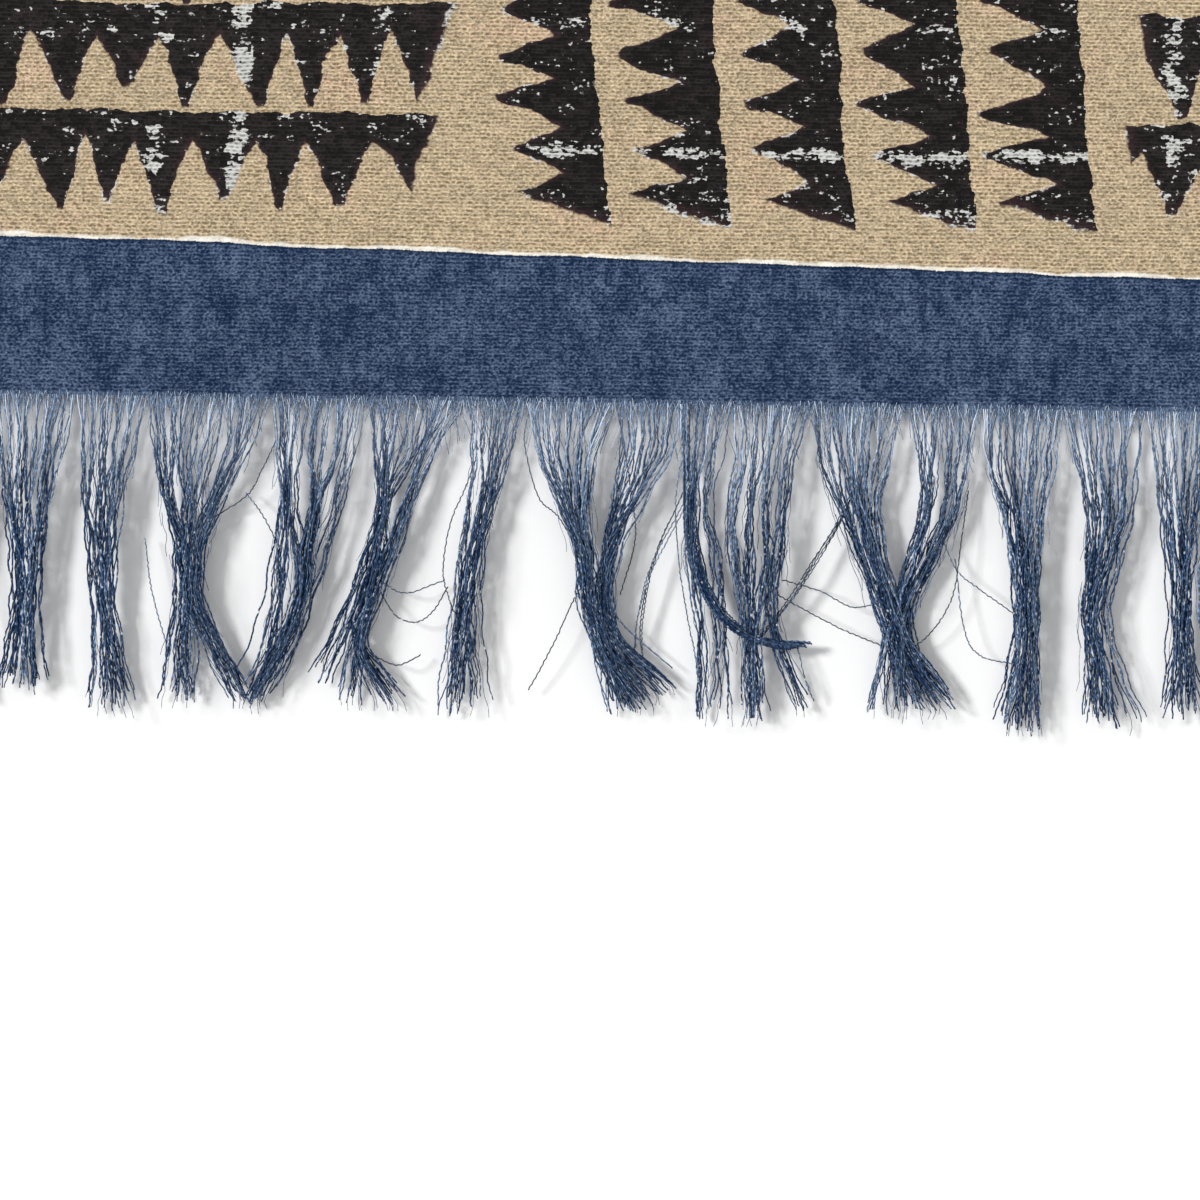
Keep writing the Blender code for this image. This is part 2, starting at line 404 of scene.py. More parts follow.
COLUMN_HEAD_SPREAD = 3

# Teeth: how far their pitch drifts, where in its pitch a tip stands, how full a tooth is, and how much the
# spine and the teeth's lengths vary.
TOOTH_DRIFT = 0.46
TIP_FIRST = 0.33
TIP_SPREAD = 0.34
TOOTH_TAPER = 1.25
TOOTH_FULLNESS = 1.15
TOOTH_SHORTFALL = 0.8
TOOTH_SPREAD = 4.6
LEAST_SPINE = 3.6
SPINE_UNEVENNESS = 3.4
FAR_OUTSIDE = 40

# How far an inked edge steps from thread to thread and wavers, finely and broadly, and over which gaps from
# inside to outside the ink ends.
STEP_ACROSS, STEP_ALONG = 0.36, 0.22
FINE_WAVER_ACROSS, FINE_WAVER_ALONG = 0.40, 0.30
BROAD_WAVER_ACROSS, BROAD_WAVER_ALONG = 1.15, 1.1
FULL_INK, NO_INK = -0.40, 0.38

# Worn streaks across the combs, in millimetres, and the two values of wear between which a thread goes bare.
COLUMN_STREAK_PITCH = 11.2
BAR_STREAK_PITCH = 23.0
COLUMN_STREAK_WIDTH = 1.5
BAR_STREAK_WIDTH = 2.6
WORN_FOOT_DEPTH = 7.5
STILL_INKED = 0.46
QUITE_BARE = 0.64

Weave = namedtuple("Weave", "crest hole float_chance hole_chance fibre tone")
Print = namedtuple("Print", "gap upright block column in_x in_y")


def weave(finish, x, y):
    """Plain weave: the rise of each weft thread, the holes between floats, and what varies by float."""
    fibre = finish.noise(x / 0.34, y / 0.22, 2.0)
    x = x + finish.noise(x / 28, y / 28) * THREAD_DRIFT
    y = y + finish.noise(x / 34, y / 9, 7.0) * ROW_SWAY + finish.noise(x / 1.9, y / 4, 8.0) * ROW_WAVER
    along = y / WEFT_PITCH
    row = (along + 0.5).whole()
    off_row = along - row
    across = x / FLOAT_PITCH + row.odd() * 0.5 + finish.noise(x / 2.8, row * 3.7, 3.0) * FLOAT_UNEVENNESS
    column = across.whole()
    off_float = across - column - 0.5
    crest = off_row * off_row * 4
    hole_reach = (off_float / HOLE_HALF_LENGTH) ** 2 + (off_row / HOLE_HALF_DEPTH) ** 2
    hole = 1 - hole_reach.rise(0.02, 1.0)
    float_chance, hole_chance = finish.chance(column, row), finish.chance(column, row, 5.0)
    tone = (float_chance - 0.5) * 0.26 + fibre * 0.22
    return Weave(crest, hole, float_chance, hole_chance, fibre, tone)


def comb(finish, along, from_spine, number, block, pitch, spine, reach):
    """How far a point lies outside one comb's inked shape, in millimetres. Inside it is below 0."""
    teeth = along / pitch + finish.noise(along / 26, number * 5.3, block) * TOOTH_DRIFT
    tooth, across = teeth.whole(), teeth.part()
    tip = finish.chance(tooth, number + 3, block) * TIP_SPREAD + TIP_FIRST
    point = (across / tip).least((1 - across) / (1 - tip))
    valley = spine + finish.noise(teeth * 0.9, number * 3.1, block + 4) * SPINE_UNEVENNESS
    length = reach - TOOTH_SHORTFALL + finish.chance(tooth, number, block) * TOOTH_SPREAD
    return from_spine - valley.most(LEAST_SPINE) - length * (point**TOOTH_TAPER * TOOTH_FULLNESS).least(1.0)


def block_print(finish, x, y, thread):
    """The printed combs: how far each point lies outside them, and where in its block it is."""
    # Each float takes ink or misses it, so an edge of the print steps from thread to thread
    print_x = x + (thread.float_chance - 0.5) * STEP_ACROSS
    print_x = print_x + finish.noise(x / 2.1, y / 1.7, 3.0) * FINE_WAVER_ACROSS
    print_x = print_x + finish.noise(x / 6.5, y / 5, 23.0) * BROAD_WAVER_ACROSS
    print_y = y + (thread.hole_chance - 0.5) * STEP_ALONG
    print_y = print_y + finish.noise(x / 1.7, y / 2.1, 4.0) * FINE_WAVER_ALONG
    print_y = print_y + finish.noise(x / 6, y / 6.5, 24.0) * BROAD_WAVER_ALONG
    up = print_y + CLOTH_END / MM - BLOCK_FOOT
    block_across = (print_x - BLOCK_LEFT) / BLOCK_WIDTH
    block_along = up / BLOCK_LENGTH
    block = block_across.whole() * 3 + block_along.whole() * 7
    upright = 1 - (block_across.whole() + block_along.whole()).odd()
    in_x = block_across.part() * BLOCK_WIDTH
    in_y = block_along.part() * BLOCK_LENGTH

    leaning = in_x - COLUMN_START + in_y * (COLUMN_LEAN - in_y * LEAN_EASE)
    leaning = leaning + finish.noise(x / 30, y / 18, 9.0) * COLUMN_BOW
    column = (leaning / COLUMN_PITCH).whole()
    from_column = (1 - (leaning / COLUMN_PITCH).part()) * COLUMN_PITCH
    column_gap = comb(finish, in_y, from_column, column, block, COLUMN_TOOTH, COLUMN_SPINE, COLUMN_REACH)
    foot = in_y - from_column * COLUMN_FOOT_CUT - finish.chance(column, block, 6.0) * COLUMN_FOOT_SPREAD
    foot = foot + COLUMN_FOOT_DROP
    head = BLOCK_LENGTH - COLUMN_HEAD_GAP - in_y - finish.chance(column, block, 8.0) * COLUMN_HEAD_SPREAD
    beside = leaning.least(COMBS * COLUMN_PITCH - leaning)
    column_gap = column_gap.most(0 - foot.least(head)) + FAR_OUTSIDE * (1 - beside.over(SIDE_GAP))

    bowed = in_y + finish.noise(x / 60, y / 60, 10.0) * BAR_BOW
    bar = (bowed / BAR_PITCH).whole()
    from_bar = (1 - (bowed / BAR_PITCH).part()) * BAR_PITCH
    bar_end = BLOCK_WIDTH - BAR_END_GAP - finish.chance(bar + 2, block, 12.0) * BAR_END_SPREAD
    from_bar_end = bar_end - in_x
    bar_gap = comb(finish, from_bar_end, from_bar, bar + 11, block, BAR_TOOTH, BAR_SPINE, BAR_REACH)
    tail = in_x - BAR_TAIL_GAP - finish.chance(bar, block, 14.0) * BAR_TAIL_SPREAD - from_bar * BAR_TAIL_CUT
    bar_gap = bar_gap.most(0 - tail.least(from_bar_end - from_bar * BAR_END_CUT))
    bar_gap = bar_gap + FAR_OUTSIDE * (1 - bowed.least(COMBS * BAR_PITCH - bowed).over(SIDE_GAP))

    gap = column_gap * upright + bar_gap * (1 - upright)
    gap = gap + FAR_OUTSIDE * (1 - up.least(BLOCK_ROWS * BLOCK_LENGTH - up).over(0.0))
    return Print(gap, upright, block, column, in_x, in_y)


def worn_threads(finish, x, y, thread, printed):
    """1 where the block missed the threads: broken streaks across the combs, worn feet, lone threads, and a
    thin line along the edge of some teeth."""
    gap, upright, block, column, in_x, in_y = printed
    speck = finish.noise(x / 1.05, y / 0.72, 21.0) + (thread.float_chance - 0.5) * 0.34
    drift = finish.noise(x / 22, y / 22, 15.0)
    streak_pitch = COLUMN_STREAK_PITCH * upright + BAR_STREAK_PITCH * (1 - upright)
    streak_width = COLUMN_STREAK_WIDTH * upright + BAR_STREAK_WIDTH * (1 - upright)
    streak_place = (in_y * upright + in_x * (1 - upright) + drift * 1.6) / streak_pitch
    streak_number = streak_place.whole() + block * 2
    streak_middle = finish.chance(streak_number, block, 3.0) * 0.5 + 0.25
    off_streak = abs(streak_place.part() - streak_middle) * streak_pitch / streak_width
    streak = (1 - off_streak * off_streak).most(0.0) * finish.chance(streak_number, block, 2.0)
    patch = finish.noise(x / 8, y / 6, 13.0)
    cluster = finish.noise(x / 4.2, y / 2.2, 33.0)
    ragged = finish.noise(x / 2.0, y / 0.8, 27.0) * 1.1
    worn_foot = (1 - in_y.rise(2.0, WORN_FOOT_DEPTH)) * finish.chance(column, block, 9.0) * upright * 0.5
    worn = streak * (0.70 + patch + ragged) + worn_foot + patch * 0.55 + speck
    worn = worn + cluster * (0.84 - upright * 0.14)
    bare = worn.rise(STILL_INKED, QUITE_BARE)
    outline = gap.rise(-0.7, -0.1) * (1 - gap.rise(0.2, 0.75))
    outline = outline * (finish.noise(x / 6, y / 6, 31.0) * 1.2 + speck * 0.8).rise(0.30, 0.44)
    return (bare * (1 - gap.rise(0.1, 0.6))).most(outline)


def blue_dye(finish, x, y, thread, below_line, from_end):
    """The end band's blue: soft grain, faint streaks along the warp, a dark first thread and a pale last."""
    streaky = finish.noise(x / 1.8, y / 12, 43.0) * 0.50 + finish.noise(x / 1.4, y / 3.6, 41.0) * 0.45
    streaky = streaky + finish.noise(x / 8, y / 12, 45.0) * 0.66
    lit = finish.noise(x / 0.52, y / 0.44, 47.0, detail=2.0) * 1.10 + (thread.float_chance - 0.5) * 0.34
    # The crest and hole terms are painted light on the weft's rises and painted shade in the holes. The rest
    # is the dye's own grain and streaks.
    lit = lit + streaky * 0.46 + thread.crest * 0.22 - thread.hole * 0.22 + 0.17
    blue = finish.mix(lit.rise(-0.45, 1.05) ** 1.6, BLUE_DEEP, BLUE_LIT)
    blue = finish.mix((1 - below_line.rise(0.15, 0.75)) * 0.9, blue, BLUE_DEEP)
    fading = from_end + thread.fibre * 0.6 + finish.noise(x / 3, 8.0) * 0.6
    return finish.mix((1 - fading.rise(0.0, EDGE_FADE_DEPTH)) * 0.55, blue, BLUE_LIT)


def printed_cloth():
    """Colours, wear and weave of the whole cloth."""
    finish = Finish("printed_cotton", roughness=0.92, specular=0.06, sheen=0.02)
    x, y = finish.place()
    thread = weave(finish, x, y)
    crest, hole = thread.crest, thread.hole
    printed = block_print(finish, x, y, thread)
    bare = worn_threads(finish, x, y, thread, printed)

    pinkish = finish.noise(x / 22, y / 13, 17.0) + finish.noise(x / 2.6, y / 1.2, 18.0) * 0.6
    # Noise at the size of a float, painted as highlights on the floats.
    float_highlights = finish.noise(x / 0.56, y / 0.42, 61.0)
    ground = finish.mix(pinkish.rise(0.0, 0.7), TAN, TAN_PINK)
    # Painted light: the ground is lighter where the weft rises and on the float highlights. Its tone also
    # varies at random.
    ground = finish.shade(ground, crest * 0.34 + 0.70 + thread.tone * 1.25 + float_highlights * 0.86)
    # Painted shade: the holes between floats are darkened towards the shaded hole colour.
    ground = finish.mix(hole * (thread.hole_chance * 0.92 + 0.10), ground, TAN_HOLE_SHADE)

    run = finish.noise(x / 3.4, y / 0.5, 51.0)
    bled = printed.gap.rise(-3.0, 0.0) * 0.5 + finish.noise(x / 8, y / 5, 53.0) * 0.5
    ink = finish.mix(bled.rise(0.05, 0.55), BROWN_BLACK, BROWN_PURPLE)
    # Painted light on the ink: lighter on the weft's rises, in streaks along the weft, and painted shade in
    # the holes between floats. Its tone also varies at random, and the columns' ink is a little darker than
    # the bars'.
    ink_lit = crest * (0.13 + run * 0.6) + thread.tone * 1.1 - hole * 0.12 + 0.13 - printed.upright * 0.06
    ink = finish.mix(ink_lit.most(0.0).least(1.0), ink, INK_LIT)
    # Bare threads: painted light on the weft's rises and painted shade in the holes between floats, with a
    # tone that varies at random.
    unprinted = finish.shade(UNPRINTED, crest * 0.35 + 0.74 + thread.tone - hole * 0.35)
    field = finish.mix(1 - printed.gap.rise(FULL_INK, NO_INK), ground, ink)
    field = finish.mix(bare, field, unprinted)

    from_end = CLOTH_END / MM - abs(y)
    band_edge = BAND_DEPTH + x * BAND_SLOPE + finish.noise(x / 34, 2.0) + finish.noise(x / 9, 5.0) * 0.25
    above_band = from_end - band_edge + (thread.float_chance - 0.5) * 0.12 + thread.fibre * 0.20
    line_depth = finish.noise(x / 14, 6.0) * LINE_UNEVENNESS + finish.noise(x / 3, 7.0) * 0.34 + BARE_LINE
    line = 1 - (above_band - line_depth).rise(-0.22, 0.30)
    ecru = finish.shade(ECRU, 0.92 + thread.tone)
    field = finish.mix(line * (finish.noise(x / 3.1, 9.0) * 0.5 + 0.85).least(1.0), field, ecru)
    blue = blue_dye(finish, x, y, thread, 0 - above_band, from_end)
    colour = finish.mix(1 - above_band.rise(-0.1, 0.1), field, blue)

    height = crest * 0.5 + 0.5 - hole * (thread.hole_chance * 0.35 + 0.25)
    finish.feed(colour, height, WEAVE_RELIEF, strength=0.8)
    return finish


cloth = new_piece("printed_length", mesh, printed_cloth())
cloth.data.set_sharp_from_angle(angle=RIM_ANGLE)
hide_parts("cloth")

# The fringe: the cloth's own warp yarns, loose beyond the last weft. They cling together in uneven locks
# that stand off the surface, part and cross, and fray at their ends.
YARN_PITCH = 0.44
PLAIN_YARN_PITCH = 0.52
YARN_RADIUS = 0.168
FRINGE_LENGTH = 63.0
TUCKED_IN = 0.3
LEAVING_LEVEL = 0.95
STRIP_END_INSET = 1.0
CLUSTER_WIDTHS = (1.1, 3.4)
CRIMP_SWAY = 0.05
FINE_REACH = 125.0
FINE_STEPS = 66
PLAIN_STEPS = 24
LOCK_PITCH = 16.4
LOCK_UNEVENNESS = 1.6
FIRST_PARTINGS = (0.26, 0.38)
SECOND_PARTINGS = (0.60, 0.72)
PLAIN_FANS = (1.4, 2.8)
SHORTER_BY = (0, 1.5)
LENGTH_UNEVENNESS = 3.4
UPPER_SHIFT = 2.2
LOWER_SHIFT = 3.4
TIP_SHIFT = 2.8
NEAR_SEED = 5
FAR_SEED = 11
YARN_DEEP = (0.0065, 0.026, 0.076)
YARN_PALE = (0.30, 0.41, 0.58)
STRAY_DEEP = (0.030, 0.034, 0.042)
YARN_GLINT = (0.74, 0.80, 0.88)

# How a lock gathers, in its middle, and how its yarns differ: a lowest and highest value for each thing that
# chance sets.
GATHERED_SHARE = 0.27
GATHERED_LEAST = 0.60
TIP_HEIGHTS = (2.0, 3.6)
BOWS = (0.2, 1.2)
LOCK_TURNS = (-2.4, 2.4)
YARN_TURNS = (-2.0, 2.0)
CLUSTER_PULLS = (0.35, 1.0)
CLUSTER_CLOSINGS = (5, 18)
LENGTH_SHARES = (-0.065, 0.014)
SWAY = 0.27
SWAY_PITCHES = (7, 15)
THICKNESS_SHARES = (0.78, 1.15)
STRAY_REACH = 4.0
LOWEST_YARN = 0.22

# Fine hairs along the locks and by the last weft: how many a bundle has, and what chance sets.
SEEN_HAIRS = 24
PLAIN_HAIRS = 9
HAIR_STEPS = 8
HAIR_RADIUS = 0.055
HAIR_STARTS = (0.0, 0.85)
HAIR_REACHES = (0.10, 0.32)
HAIR_LAST_END = 1.03
HAIR_SPOTS = (-0.9, 0.9)
HAIR_SPREADS = (-0.6, 0.6)
HAIR_SPREAD_REACH = 2.6
HAIR_SWAY = 0.22
HAIR_SWAY_PITCHES = (4, 9)
HAIR_LIFTS = (1.2, 5.2)
HAZE_STEPS = 5
HAZE_RADII = (0.035, 0.075)
HAZE_LEANS = (-0.45, 0.45)
HAZE_RISES = (-1.2, 0.8)
HAZE_TUCKS = (0.1, 1.4)
SHORT_HAZE = (0.8, 3.2)
LONG_HAZE = (3.0, 12.0)
PLAIN_HAZE = (0.8, 4.5)
SHORT_HAZE_HAIRS = 760
LONG_HAZE_HAIRS = 280
SIDE_HAZE_HAIRS = 420
FAR_HAZE_HAIRS = 1300
LOWEST_HAIR = 0.2

# A bundle of neighbouring yarns: the stretch of the cloth's end that it leaves, its middle at each sixth of
# its length, how far its ends fan out to each side, its length, and how full of yarns it is. Millimetres
# from the stole's middle.
names = "left right at_1 at_2 at_3 at_4 at_5 at_6 fan length fill"
Bundle = namedtuple("Bundle", names, defaults=(1.0,))
SEEN_BUNDLES = (
    Bundle(-90.2, -84.0, -86.6, -86.2, -83.6, -83.1, -84.0, -84.5, fan=3.2, length=60, fill=1.1),
    Bundle(-84.0, -78.5, -82.6, -82.4, -82.2, -81.4, -76.8, -71.6, fan=1.6, length=60, fill=0.7),
    Bundle(-77.8, -74.5, -78.2, -80.2, -81.2, -81.4, -81.4, -82.5, fan=3.0, length=60, fill=0.8),
    Bundle(-74.2, -69.9, -72.9, -76.6, -80.2, -80.5, -75.9, -70.8, fan=1.2, length=60, fill=1.15),
    Bundle(-69.9, -65.3, -70.6, -75.0, -78.9, -79.7, -76.2, -71.1, fan=1.2, length=60, fill=0.6),
    Bundle(-65.3, -61.3, -63.0, -62.4, -63.0, -63.8, -65.6, -69.0, fan=1.0, length=60, fill=1.1),
    Bundle(-61.2, -57.8, -60.6, -61.2, -60.0, -60.0, -63.9, -68.8, fan=0.9, length=61, fill=0.8),
    Bundle(-57.7, -53.2, -56.6, -56.4, -58.2, -59.0, -62.4, -68.2, fan=1.0, length=60, fill=0.9),
    Bundle(-53.2, -50.4, -52.2, -55.2, -57.0, -58.2, -61.6, -67.3, fan=1.2, length=59, fill=1.15),
    Bundle(-50.3, -46.3, -49.6, -51.6, -54.2, -57.2, -60.2, -64.7, fan=1.8, length=58, fill=0.45),
    Bundle(-46.3, -42.6, -43.8, -43.4, -44.1, -46.1, -47.2, -40.6, fan=1.8, length=60, fill=1.2),
    Bundle(-42.5, -38.7, -42.2, -42.7, -43.8, -45.8, -47.5, -42.4, fan=1.8, length=60, fill=0.8),
    Bundle(-38.7, -33.2, -37.6, -41.6, -44.6, -47.5, -51.0, -55.0, fan=2.4, length=56, fill=0.7),
    Bundle(-33.1, -29.6, -34.4, -38.0, -41.3, -44.7, -48.1, -49.8, fan=2.6, length=59, fill=1.25),
    Bundle(-29.6, -26.5, -33.6, -37.3, -40.5, -44.1, -47.2, -47.5, fan=1.8, length=60, fill=0.5),
    Bundle(-26.3, -24.0, -24.9, -25.6, -26.8, -27.5, -28.6, -29.2, fan=0.9, length=61, fill=0.7),
    Bundle(-23.9, -18.7, -21.9, -22.9, -24.9, -26.1, -26.9, -28.0, fan=1.5, length=62),
    Bundle(-18.7, -15.0, -18.9, -21.2, -24.0, -25.2, -24.9, -24.0, fan=1.0, length=61),
    Bundle(-14.9, -11.1, -11.5, -7.6, -3.4, -1.9, 1.8, 4.1, fan=1.4, length=61),
    Bundle(-11.1, -6.7, -8.6, -5.9, -2.8, -1.5, 2.4, 6.4, fan=1.6, length=61, fill=0.8),
    Bundle(-6.6, -2.1, -5.0, -4.3, -2.3, -0.9, 3.0, 8.7, fan=2.0, length=60, fill=1.1),
    Bundle(-2.0, 3.2, -2.3, -2.7, -1.8, -0.4, 2.4, 7.6, fan=2.4, length=61, fill=1.1),
    Bundle(3.2, 7.5, 5.7, 3.4, 1.8, 1.0, 3.0, 10.5, fan=1.8, length=60, fill=0.85),
    Bundle(7.6, 11.1, 9.2, 6.2, 2.8, 1.6, 3.6, 12.7, fan=1.6, length=58),
    Bundle(11.2, 15.9, 12.8, 8.3, 3.8, 2.1, 4.1, 14.6, fan=1.6, length=56, fill=0.8),
    Bundle(19.7, 22.8, 19.9, 18.8, 18.5, 20.2, 20.8, 20.5, fan=1.6, length=62),
    Bundle(22.9, 25.9, 22.8, 21.4, 23.2, 24.2, 24.8, 24.8, fan=1.8, length=62, fill=0.8),
    Bundle(26.0, 29.9, 28.5, 26.7, 27.4, 29.4, 30.5, 31.4, fan=1.0, length=62, fill=0.8),
    Bundle(30.0, 33.3, 31.3, 30.2, 30.3, 30.5, 31.1, 31.7, fan=1.0, length=62),
    Bundle(33.4, 37.3, 34.2, 33.2, 34.0, 32.8, 31.7, 32.0, fan=1.2, length=62, fill=0.85),
    Bundle(37.3, 42.3, 37.6, 36.9, 36.0, 34.9, 36.9, 41.4, fan=2.2, length=60, fill=0.8),
    Bundle(42.5, 45.8, 44.6, 47.7, 51.8, 56.0, 60.4, 65.0, fan=1.2, length=59),
    Bundle(45.9, 50.1, 48.9, 50.7, 53.6, 57.0, 61.0, 67.3, fan=1.4, length=60),
    Bundle(50.1, 55.3, 51.8, 52.7, 54.9, 58.1, 62.1, 69.0, fan=1.6, length=59, fill=1.15),
    Bundle(55.4, 60.9, 56.4, 55.0, 56.2, 58.7, 60.4, 61.0, fan=3.4, length=60, fill=0.75),
    Bundle(61.1, 64.7, 64.6, 65.0, 62.7, 60.0, 57.5, 55.8, fan=1.6, length=60, fill=0.7),
    Bundle(64.8, 68.5, 66.2, 66.0, 63.6, 60.8, 59.2, 59.2, fan=1.8, length=61),
    Bundle(68.6, 72.2, 70.2, 69.3, 65.8, 61.8, 61.5, 62.7, fan=1.6, length=61, fill=0.9),
    Bundle(72.2, 76.2, 73.0, 71.4, 67.1, 62.5, 62.7, 66.7, fan=1.6, length=60, fill=0.9),
    Bundle(76.3, 80.6, 78.4, 81.4, 83.4, 84.5, 83.9, 82.0, fan=1.4, length=63),
    Bundle(80.6, 84.6, 82.4, 83.5, 84.7, 85.3, 84.9, 83.8, fan=1.6, length=63),
    Bundle(84.6, 88.6, 85.9, 85.7, 86.0, 86.1, 85.8, 85.3, fan=1.6, length=63),
    Bundle(88.7, 92.4, 89.5, 88.1, 87.2, 87.1, 87.1, 87.4, fan=1.8, length=63),
)

# Single yarns that stray from the locks, each as points across and below the cloth's end, in millimetres,
# then two wisps of a few yarns, and one lock that curls up at its end.
STRAYS = (
    ((-43.4, 35.8), (-38.2, 38.2), (-30.4, 35.5)),
    ((-43.6, 37.4), (-40.2, 42.6), (-36.0, 44.0), (-32.6, 41.6), (-29.8, 36.8)),
    ((-44.6, 50.7), (-39.6, 52.6), (-35.0, 50.5)),
    ((-26.6, 0.4), (-24.4, 8.8), (-26.2, 16.0), (-29.4, 23.9), (-30.8, 33.5), (-29.4, 39.5), (-27.4, 44.0)),
    ((-14.2, 1.5), (-14.9, 8.0), (-12.0, 18.6), (-7.8, 22.7), (-3.6, 30.1)),
    ((-1.6, 34.0), (-4.6, 39.0), (-8.6, 48.0), (-13.4, 57.2)),
    ((37.0, 34.4), (44.6, 36.6), (50.8, 39.6), (56.4, 38.7)),
    ((35.6, 37.2), (42.0, 40.6), (49.4, 44.3), (57.2, 47.3)),
    ((73.8, 16.0), (72.6, 25.0), (70.8, 37.3), (66.2, 45.0), (59.8, 49.6)),
    ((68.6, 25.5), (71.8, 32.1), (77.0, 36.2), (83.4, 40.6)),
    ((71.4, 29.7), (73.2, 43.3), (76.4, 48.8), (83.4, 50.5)),
    ((17.0, 8.0), (15.4, 18.4), (16.2, 31.0), (18.0, 41.8), (20.0, 51.4), (20.8, 62.5)),
    ((37.0, 46.4), (39.0, 54.4), (40.6, 59.6)),
    ((40.0, 47.0), (41.8, 54.3), (43.6, 58.5)),
    ((-64.2, 7.5), (-67.2, 14.0), (-70.0, 19.1), (-77.2, 24.0)),
    ((-70.4, 18.7), (-67.0, 23.0), (-63.4, 29.6)),
    ((-90.4, 28.0), (-88.8, 38.4), (-85.6, 49.8)),
    ((4.6, 6.3), (6.6, 18.0), (7.4, 27.0), (4.6, 37.9)),
)
WISPS = (
    ((18.6, 13.0), (16.6, 20.0), (13.6, 27.0), (10.9, 33.5), (9.4, 39.0), (8.3, 45.0), (8.2, 51.0)),
    ((50.9, 16.0), (47.6, 22.6), (43.4, 29.6), (40.0, 35.8), (36.6, 41.0), (32.4, 46.6), (30.0, 50.0)),
)
WISP_HALF_WIDTHS = (0.5, 0.9, 1.1, 0.8, 0.6, 0.8, 1.2)
WISP_YARNS = 4
WISP_RADIUS = 0.12
WISP_HEIGHT = 3.2
STRAY_RADIUS = 0.125
STRAY_HEIGHT = 3.0
LOWEST_STRAY = 0.25
CURLED_LOCK = (
    (17.7, -0.3), (18.1, 14.0), (18.8, 27.0), (22.0, 37.0), (27.0, 43.6), (34.2, 46.9), (43.2, 47.6)
)
CURLED_HALF_WIDTHS = (2.1, 1.5, 1.3, 1.2, 1.15, 0.9, 1.0)
CURLED_YARNS = 24
CURLED_JOINING = 14
CURLED_RADIUS = 0.165
CURLED_HEIGHT = 3.9


def through(values, share):
    """The smooth curve through evenly spaced values."""
    last = len(values) - 1
    place = min(max(share * last, 0.0), last - 1e-6)
    i = int(place)
    t = place - i
    before = values[i - 1] if i else 2 * values[0] - values[1]
    after = values[i + 2] if i + 2 <= last else 2 * values[last] - values[last - 1]
    a, b = values[i], values[i + 1]
    bend = 2 * before - 5 * a + 4 * b - after
    swing = 3 * a - before - 3 * b + after
    return 0.5 * (2 * a + (b - before) * t + bend * t**2 + swing * t**3)


def plain_bundles(low, high, seed):
    """Bundles for a stretch that the photograph doesn't show, three to a lock, on the locks of the solids."""
    chance = random.Random(seed)
    count = round((high - low) / LOCK_PITCH)
    pitch = (high - low) / count
    inner = [low + pitch * n + chance.uniform(-LOCK_UNEVENNESS, LOCK_UNEVENNESS) for n in range(1, count)]
    bounds = [low, *inner, high]
    bundles = []
    for left, right in zip(bounds, bounds[1:]):
        length = FRINGE_LENGTH - (chance.uniform(0, LENGTH_UNEVENNESS) if bundles else 0)
        middle, width = (left + right) / 2, right - left
        upper = middle + chance.uniform(-UPPER_SHIFT, UPPER_SHIFT)
        lower = middle + chance.uniform(-LOWER_SHIFT, LOWER_SHIFT)
        tip = middle + chance.uniform(-TIP_SHIFT, TIP_SHIFT)
        own = random.Random(round(middle * 10))
        cuts = [left, left + width * own.uniform(*FIRST_PARTINGS)]
        cuts += [left + width * own.uniform(*SECOND_PARTINGS), right]
        for number, (start, stop) in enumerate(zip(cuts, cuts[1:])):
            side = number - 1
            route = [
                (start + stop) / 2 * 0.6 + upper * 0.4 + side * width * 0.06,
                upper + side * width * 0.20,
                (upper + lower) / 2 + side * width * 0.13,
                lower + side * width * 0.08,
                (lower + tip) / 2 + side * width * 0.10,
                tip + side * width * 0.18,
            ]
            shorter = own.uniform(*SHORTER_BY)
            fan = own.uniform(*PLAIN_FANS)
            bundles.append(Bundle(start, stop, *route, fan=fan, length=length - shorter))
    return bundles


def end_half_width(end, side):
    return (CLOTH_WIDTH / 2 - side_pull(end * CLOTH_END, side)) / MM - STRIP_END_INSET


def root_height(x, end):
    """Height at which a yarn leaves the cloth, just under the top of its wall, in millimetres."""
    return lift_at(x * MM, end * CLOTH_END) / MM + CLOTH_WALL / MM * LEAVING_LEVEL


